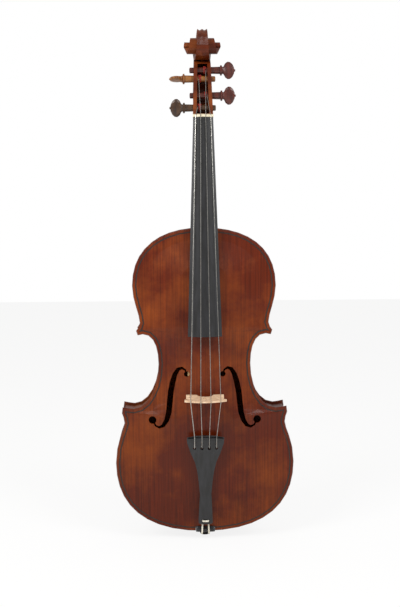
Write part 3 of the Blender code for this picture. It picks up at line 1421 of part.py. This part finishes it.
def build_saddle():
    """The saddle: a small ebony block let into the plate's edge, round where the gut bends."""
    low = -(EDGE_FACE + SADDLE_HEIGHT)
    high = -RIB_FACE - 0.0001
    rings = []
    for x, drop in ((-SADDLE_HALF, 0.0014), (-SADDLE_HALF * 0.8, 0.0002), (0.0, 0.0),
                    (SADDLE_HALF * 0.8, 0.0002), (SADDLE_HALF, 0.0014)):
        rings.append([(x, high, 0.0002), (x, low + drop + 0.0016, 0.0002), (x, low + drop + 0.0003, 0.0009),
                      (x, low + drop, 0.0022), (x, low + drop + 0.0002, SADDLE_DEPTH * 0.6),
                      (x, low + drop + 0.0030, SADDLE_DEPTH), (x, high, SADDLE_DEPTH)])
    return loft("saddle", rings, "ebony")


def build_end_button():
    """The end button: a turned knob with a groove for the gut and a shank in the lower block."""
    rib = OVERHANG
    out = BUTTON_STANDS_OUT
    profile = (
        (0.0, rib + BUTTON_SHANK_LENGTH), (BUTTON_SHANK_RADIUS * 0.8, rib + BUTTON_SHANK_LENGTH),
        (BUTTON_SHANK_RADIUS, rib + 0.0004), (BUTTON_SHANK_RADIUS, rib - 0.0004),
        (BUTTON_GROOVE_RADIUS + 0.0012, rib - 0.0004), (BUTTON_GROOVE_RADIUS, rib - 0.0014),
        (BUTTON_GROOVE_RADIUS, -0.0032), (BUTTON_KNOB_RADIUS * 0.92, -0.0040),
        (BUTTON_KNOB_RADIUS, -0.0055), (BUTTON_KNOB_RADIUS, -out + 0.0016),
        (BUTTON_FACE_RADIUS, -out), (0.0, -out),
    )
    mesh_data = bmesh.new()
    line = [mesh_data.verts.new((radius, 0.0, level)) for radius, level in profile]
    for here, there in zip(line, line[1:]):
        mesh_data.edges.new((here, there))
    bmesh.ops.spin(mesh_data, geom=mesh_data.verts[:] + mesh_data.edges[:], cent=(0, 0, 0),
                   axis=(0, 0, 1), angle=math.tau, steps=24, use_merge=True)
    return from_bmesh("end_button", mesh_data, "ebony")


def main():
    """Build the viola."""
    grown = [root_profile(BODY_LENGTH - ROOT_DEPTH - GLUE_GAP, GLUE_GAP),
             root_profile(BODY_LENGTH + 0.006, GLUE_GAP)]
    for ring in grown:
        for index, (x, depth, level) in enumerate(ring):
            ring[index] = (x, depth - 0.004 if index < 2 else depth + 0.0004, level)
    root_cutter = loft("neck_mortise", grown, None, CUTTERS)
    button_cutter = cylinder("button_hole", (0.0, 0.0, OVERHANG + BUTTON_SHANK_LENGTH / 2),
                             BUTTON_SHANK_RADIUS + GLUE_GAP, BUTTON_SHANK_LENGTH + 0.006, (0, 0, 1),
                             None, CUTTERS, sides=24)
    top_surface, back_surface = build_plates(root_cutter)
    build_ribs(root_cutter, button_cutter)
    build_blocks(root_cutter, button_cutter)
    build_linings()
    build_bass_bar(top_surface)
    build_sound_post(top_surface, back_surface)
    build_neck_scroll()
    build_fingerboard()
    build_nut()
    for peg in PEGS:
        build_peg(peg)
    for string in STRINGS:
        build_winding(string)
        build_string(string)
    build_bridge(top_surface)
    build_tailpiece()
    loft("tailpiece_fret", tailpiece_fret_outline(0.0), "ebony")
    build_tail_gut()
    build_saddle()
    build_end_button()


main()
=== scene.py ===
"""Looks of a worn, red-brown viola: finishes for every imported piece, soft light and a camera."""

import json
import logging
import math
from dataclasses import dataclass, field
from enum import Enum

import bpy
from mathutils import Matrix, Vector

log = logging.getLogger("viola")

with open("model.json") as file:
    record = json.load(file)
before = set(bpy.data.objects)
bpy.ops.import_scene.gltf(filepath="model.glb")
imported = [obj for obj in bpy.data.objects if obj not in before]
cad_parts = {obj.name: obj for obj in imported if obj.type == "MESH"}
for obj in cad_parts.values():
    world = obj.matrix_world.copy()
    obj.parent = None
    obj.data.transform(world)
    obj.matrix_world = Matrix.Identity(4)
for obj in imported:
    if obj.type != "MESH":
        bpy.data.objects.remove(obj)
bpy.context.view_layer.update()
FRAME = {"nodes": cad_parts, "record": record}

WHITE = "ffffff"
BYTE_MAX = 255
SRGB_KNEE = 0.04045


class Grain(Enum):
    """How many cells of grain a metre holds along X, Y and Z, for each way the wood is cut."""

    # Quarter-sawn spruce: a reed line every 1.6 mm across, coarser than real so that it shows
    SPRUCE = (625.0, 125.0, 9.0)
    # Maple: flames 7 mm high, which run 25 mm across the grain
    MAPLE = (40.0, 40.0, 150.0)


def linear(hex_colour: str) -> tuple[float, float, float, float]:
    """Turn an sRGB hex colour to linear light.

    Args:
        hex_colour: Six hex digits.

    Returns:
        Red, green, blue and alpha.
    """
    parts = [int(hex_colour[i:i + 2], 16) / BYTE_MAX for i in (0, 2, 4)]
    lights = [c / 12.92 if c <= SRGB_KNEE else ((c + 0.055) / 1.055) ** 2.4 for c in parts]
    return (*lights, 1.0)


def add_node(tree: bpy.types.NodeTree, kind: str, links: dict | None = None,
             **settings: object) -> bpy.types.Node:
    """Add a node with its settings and links.

    Args:
        tree: The tree that takes the node.
        kind: The node's type.
        links: Input name or index to a socket it is linked from, or to a value.
        **settings: Properties of the node.

    Returns:
        The new node.
    """
    node = tree.nodes.new(kind)
    for name, value in settings.items():
        setattr(node, name, value)
    for name, value in (links or {}).items():
        if isinstance(value, bpy.types.NodeSocket):
            tree.links.new(value, node.inputs[name])
        else:
            node.inputs[name].default_value = value
    return node


def blank_material(name: str) -> tuple[bpy.types.Material, bpy.types.NodeTree, bpy.types.Node]:
    """Make a material with nothing set.

    Args:
        name: The material's name.

    Returns:
        The material, its tree and its Principled shader.
    """
    material = bpy.data.materials.new(name)
    material.use_nodes = True
    tree = material.node_tree
    return material, tree, tree.nodes["Principled BSDF"]


def remap(tree: bpy.types.NodeTree, value: bpy.types.NodeSocket, source: tuple[float, float],
          result: tuple[float, float]) -> bpy.types.NodeSocket:
    """Stretch a value from one range to another.

    Args:
        tree: The tree that takes the node.
        value: The socket to read.
        source: The range that the value is read over.
        result: What the two ends of that range become.

    Returns:
        The stretched value.
    """
    sockets = {0: value, 1: source[0], 2: source[1], 3: result[0], 4: result[1]}
    return add_node(tree, "ShaderNodeMapRange", sockets).outputs[0]


def two_tone(tree: bpy.types.NodeTree, value: bpy.types.NodeSocket, stops: tuple[float, float],
             colours: tuple[str, str]) -> bpy.types.NodeSocket:
    """Colour a value from one tone to another.

    Args:
        tree: The tree that takes the node.
        value: The socket to read.
        stops: Where the first tone ends and the second begins.
        colours: The two tones, as hex digits.

    Returns:
        The colour.
    """
    ramp = add_node(tree, "ShaderNodeValToRGB", {0: value})
    for element, stop, colour in zip(ramp.color_ramp.elements, stops, colours):
        element.position = stop
        element.color = linear(colour)
    return ramp.outputs[0]


def relief(tree: bpy.types.NodeTree, shader: bpy.types.Node, height: bpy.types.NodeSocket,
           strength: float, depth: float) -> None:
    """Give a surface a fine relief.

    Args:
        tree: The tree that takes the node.
        shader: The surface's shader.
        height: The relief's height.
        strength: Its strength.
        depth: Its depth in metres.
    """
    sockets = {"Height": height, "Strength": strength, "Distance": depth}
    bump = add_node(tree, "ShaderNodeBump", sockets)
    tree.links.new(bump.outputs[0], shader.inputs["Normal"])


@dataclass(frozen=True)
class Varnish:
    """Oil varnish brushed over wood: glossy, deep where it is whole, paler where hands wore it."""

    name: str
    deep: str
    worn: str
    grain: Grain
    roughness: float = 0.28
    roughness_worn: float = 0.50
    specular: float = 0.2
    coat: float = 0.06
    coat_roughness: float = 0.12
    wear_per_metre: float = 11.0
    wear_detail: float = 5.0
    wear_roughness: float = 0.62
    wear_stops: tuple[float, float] = (0.46, 0.66)
    grain_detail: float = 3.0
    grain_shade: tuple[float, float] = (0.62, 1.12)
    # Painted light: the next two set the heights in metres and the gain by which the varnish is paled
    # towards the top, as if lit from above
    painted_light_levels: tuple[float, float] = (0.12, 0.36)
    painted_light_gain: tuple[float, float] = (0.92, 1.2)
    relief_strength: float = 0.12
    relief_depth: float = 0.0003

    def make(self) -> bpy.types.Material:
        """Build the material.

        Returns:
            The varnished wood.
        """
        material, tree, shader = blank_material(self.name)
        place = add_node(tree, "ShaderNodeTexCoord").outputs["Object"]
        mapped = add_node(tree, "ShaderNodeMapping", {"Vector": place, "Scale": self.grain.value})
        grain_sockets = {"Vector": mapped.outputs[0], "Scale": 1.0, "Detail": self.grain_detail}
        grain = add_node(tree, "ShaderNodeTexNoise", grain_sockets).outputs[0]
        wear_sockets = {"Vector": place, "Scale": self.wear_per_metre, "Detail": self.wear_detail,
                        "Roughness": self.wear_roughness}
        wear = add_node(tree, "ShaderNodeTexNoise", wear_sockets).outputs[0]
        tone = two_tone(tree, wear, self.wear_stops, (self.deep, self.worn))
        shade = self.shade(tree, place, grain)
        colour = add_node(tree, "ShaderNodeVectorMath", {0: tone}, operation="SCALE")
        tree.links.new(shade, colour.inputs["Scale"])
        tree.links.new(colour.outputs[0], shader.inputs["Base Color"])
        gloss = remap(tree, wear, (0.4, 0.7), (self.roughness, self.roughness_worn))
        tree.links.new(gloss, shader.inputs["Roughness"])
        relief(tree, shader, grain, self.relief_strength, self.relief_depth)
        shader.inputs["Specular IOR Level"].default_value = self.specular
        shader.inputs["Coat Weight"].default_value = self.coat
        shader.inputs["Coat Roughness"].default_value = self.coat_roughness
        return material

    def shade(self, tree: bpy.types.NodeTree, place: bpy.types.NodeSocket,
              grain: bpy.types.NodeSocket) -> bpy.types.NodeSocket:
        """Darken the varnish along the grain, and pale it towards the top with painted light, as if lit
        from above.

        Args:
            tree: The material's tree.
            place: The place on the piece.
            grain: The grain's pattern.

        Returns:
            What the colour is multiplied by.
        """
        lines = remap(tree, grain, (0.3, 0.7), self.grain_shade)
        height = add_node(tree, "ShaderNodeSeparateXYZ", {0: place}).outputs["Z"]
        # Painted light: the colour grows brighter with height, as if lit from above
        painted_top_light = remap(tree, height, self.painted_light_levels, self.painted_light_gain)
        return add_node(tree, "ShaderNodeMath", {0: lines, 1: painted_top_light}, operation="MULTIPLY").outputs[0]


@dataclass(frozen=True)
class Plain:
    """A bare or polished surface whose colour drifts a little, with fine pores."""

    name: str
    dark: str
    light: str
    roughness: float
    pores_per_metre: float = 260.0
    stretch: float = 0.12
    metallic: float = 0.0
    pore_detail: float = 4.0
    stops: tuple[float, float] = (0.35, 0.68)
    relief_strength: float = 0.1
    relief_depth: float = 0.0002

    def make(self) -> bpy.types.Material:
        """Build the material.

        Returns:
            The finished surface.
        """
        material, tree, shader = blank_material(self.name)
        place = add_node(tree, "ShaderNodeTexCoord").outputs["Object"]
        mapped = add_node(tree, "ShaderNodeMapping", {"Vector": place, "Scale": (1.0, 1.0, self.stretch)})
        pore_sockets = {"Vector": mapped.outputs[0], "Scale": self.pores_per_metre,
                        "Detail": self.pore_detail}
        pores = add_node(tree, "ShaderNodeTexNoise", pore_sockets).outputs[0]
        tone = two_tone(tree, pores, self.stops, (self.dark, self.light))
        tree.links.new(tone, shader.inputs["Base Color"])
        relief(tree, shader, pores, self.relief_strength, self.relief_depth)
        shader.inputs["Roughness"].default_value = self.roughness
        shader.inputs["Metallic"].default_value = self.metallic
        return material


FINISH_OF_SLOT = {
    # Spruce under oil varnish: straight reed lines, red where it is thick, orange where it is rubbed
    "varnished_spruce": Varnish("red_varnished_spruce", "571b03", "7c3606", Grain.SPRUCE),
    # Maple under the same varnish: flames across the grain
    "varnished_maple": Varnish("red_varnished_maple", "4f1c06", "854210", Grain.MAPLE),
    # Planed and left bare: pale and dull, as inside any fiddle
    "bare_wood": Plain("planed_spruce_and_willow", "b7945f", "d3b584", 0.8),
    # Pearwood dyed before it was inlaid: nearly black
    "purfling": Plain("dyed_pearwood", "1b110c", "2c1c12", 0.5),
    # Ebony: black and close-pored, polished by the hand
    "ebony": Plain("hand_polished_ebony", "141414", "232326", 0.38),
    # Bone: creamy, with a soft polish
    "bone": Plain("polished_bone", "cfc3a4", "e4dbc2", 0.4, 120.0),
    # Bridge maple: unvarnished, cream
    "bridge_maple": Plain("unvarnished_maple", "cba785", "e3c6a6", 0.6, 220.0),
    # Pegs of unlike woods, each turned and oiled to a low shine
    "olive_peg_wood": Plain("olive_wood_peg", "2c1a0f", "4a3018", 0.32),
    "light_peg_wood": Plain("golden_boxwood_peg", "6b3a16", "93602a", 0.32),
    "red_peg_wood": Plain("stained_rosewood_peg", "3c140c", "5c2416", 0.32),
    # Strings wound with fine silver wire: bright metal
    "string_metal": Plain("wound_silver_string", "8f8d88", "c9c6bf", 0.3, 900.0, 1.0, 1.0),
    # Silk over the strings' ends: dull red thread
    "red_silk": Plain("red_silk", "7d150f", "a52a1c", 0.75, 1500.0, 1.0),
    # Gut: pale and a little waxy
    "tail_gut": Plain("pale_gut", "d6cfbb", "eee8d8", 0.5, 300.0),
}


@dataclass
class PackedPieces:
    """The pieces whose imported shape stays; each is dressed in its slot's finish."""

    made: dict[str, bpy.types.Material] = field(default_factory=dict)

    def dress(self) -> None:
        """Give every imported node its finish."""
        for entry in FRAME["record"]["subparts"]:
            slot = entry["material_slot"]
            if slot not in self.made:
                self.made[slot] = FINISH_OF_SLOT[slot].make()
            piece = FRAME["nodes"][entry["node"]]
            piece.data.materials.clear()
            piece.data.materials.append(self.made[slot])
            log.info("%s wears %s", entry["node"], self.made[slot].name)


@dataclass
class Stage:
    """White floor, a pale room, two soft lamps above, and the camera. Lengths are in metres."""

    floor_size: float = 6.0
    floor_behind: float = 0.6
    floor_colour: str = "f4f3f1"
    floor_roughness: float = 0.9
    paper_share: float = 0.85
    room_light: float = 0.55
    left_lamp_watts: float = 16.0
    right_lamp_watts: float = 12.0
    lamp_size: float = 0.7
    lamp_side: float = 0.9
    lamp_front: float = 1.0
    lamp_height: float = 1.25
    lamp_aim_height: float = 0.3

    def build(self) -> None:
        """Make the floor, the room's light and both lamps."""
        bpy.ops.mesh.primitive_plane_add(size=self.floor_size, location=(0.0, self.floor_behind, 0.0))
        floor = bpy.context.object
        floor.name = "floor"
        floor.data.materials.append(self.paper())
        self.light_room()
        for side, watts in ((-1, self.left_lamp_watts), (1, self.right_lamp_watts)):
            self.hang_lamp(side, watts)

    def paper(self) -> bpy.types.Material:
        """Make the floor's white, which the camera sees mostly as paper and which keeps a shadow.

        Returns:
            The paper's material.
        """
        material, tree, shader = blank_material("white_paper_sweep")
        shader.inputs["Base Color"].default_value = linear(self.floor_colour)
        shader.inputs["Roughness"].default_value = self.floor_roughness
        ray = add_node(tree, "ShaderNodeLightPath")
        seen = add_node(tree, "ShaderNodeMath", {0: ray.outputs["Is Camera Ray"], 1: self.paper_share},
                        operation="MULTIPLY")
        paper = add_node(tree, "ShaderNodeEmission", {"Strength": 1.0})
        sockets = {0: seen.outputs[0], 1: shader.outputs[0], 2: paper.outputs[0]}
        mix = add_node(tree, "ShaderNodeMixShader", sockets)
        tree.links.new(mix.outputs[0], tree.nodes["Material Output"].inputs["Surface"])
        return material

    def light_room(self) -> None:
        """Fill the room with soft light, and show the camera white behind the viola."""
        world = bpy.data.worlds.new("soft_room")
        world.use_nodes = True
        tree = world.node_tree
        tree.nodes.clear()
        ray = add_node(tree, "ShaderNodeLightPath")
        room = add_node(tree, "ShaderNodeBackground", {"Color": linear(WHITE), "Strength": self.room_light})
        seen = add_node(tree, "ShaderNodeBackground", {"Color": linear(WHITE), "Strength": 1.0})
        sockets = {0: ray.outputs["Is Camera Ray"], 1: room.outputs[0], 2: seen.outputs[0]}
        mix = add_node(tree, "ShaderNodeMixShader", sockets)
        add_node(tree, "ShaderNodeOutputWorld", {"Surface": mix.outputs[0]})
        bpy.context.scene.world = world

    def hang_lamp(self, side: int, watts: float) -> None:
        """Hang one soft lamp in front of the viola, above it.

        Args:
            side: -1 for the left, 1 for the right.
            watts: The lamp's power.
        """
        lamp = bpy.data.lights.new(f"soft_lamp_{side}", "AREA")
        lamp.energy = watts
        lamp.size = self.lamp_size
        holder = bpy.data.objects.new(lamp.name, lamp)
        bpy.context.scene.collection.objects.link(holder)
        holder.location = (side * self.lamp_side, -self.lamp_front, self.lamp_height)
        aim = Vector((0.0, 0.0, self.lamp_aim_height)) - holder.location
        holder.rotation_euler = aim.to_track_quat("-Z", "Y").to_euler()


@dataclass
class Viewpoint:
    """The camera's place in metres, how it is turned in degrees, and its focal length in pixels of
    a picture 400 pixels wide."""

    picture_width: float = 400.0
    focal_length: float = 962.0
    place: tuple[float, float, float] = (-0.0358, -1.2, 0.3975)
    turn: float = 1.49
    tilt: float = -4.90
    roll: float = -0.34

    def build(self) -> None:
        """Make the camera and look through it."""
        camera = bpy.data.cameras.new("camera")
        camera.sensor_fit = "HORIZONTAL"
        camera.lens = self.focal_length / self.picture_width * camera.sensor_width
        holder = bpy.data.objects.new("camera", camera)
        bpy.context.scene.collection.objects.link(holder)
        holder.matrix_world = Matrix.Translation(Vector(self.place)) @ self.axes()
        bpy.context.scene.camera = holder

    def axes(self) -> Matrix:
        """Turn the camera's angles into its axes.

        Returns:
            The rotation, with the camera looking along its own -Z.
        """
        turn, tilt, roll = (math.radians(angle) for angle in (self.turn, self.tilt, self.roll))
        level = math.cos(tilt)
        ahead = Vector((math.sin(turn) * level, math.cos(turn) * level, math.sin(tilt)))
        right = Vector((math.cos(turn), -math.sin(turn), 0.0))
        up = right.cross(ahead)
        right, up = (right * math.cos(roll) + up * math.sin(roll),
                     up * math.cos(roll) - right * math.sin(roll))
        return Matrix((right, up, -ahead)).transposed().to_4x4()


def main() -> None:
    """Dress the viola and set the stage."""
    logging.basicConfig(level=logging.INFO, format="%(message)s")
    bpy.context.scene.view_settings.view_transform = "Standard"
    PackedPieces().dress()
    Stage().build()
    Viewpoint().build()


if __name__ == "__main__":
    main()
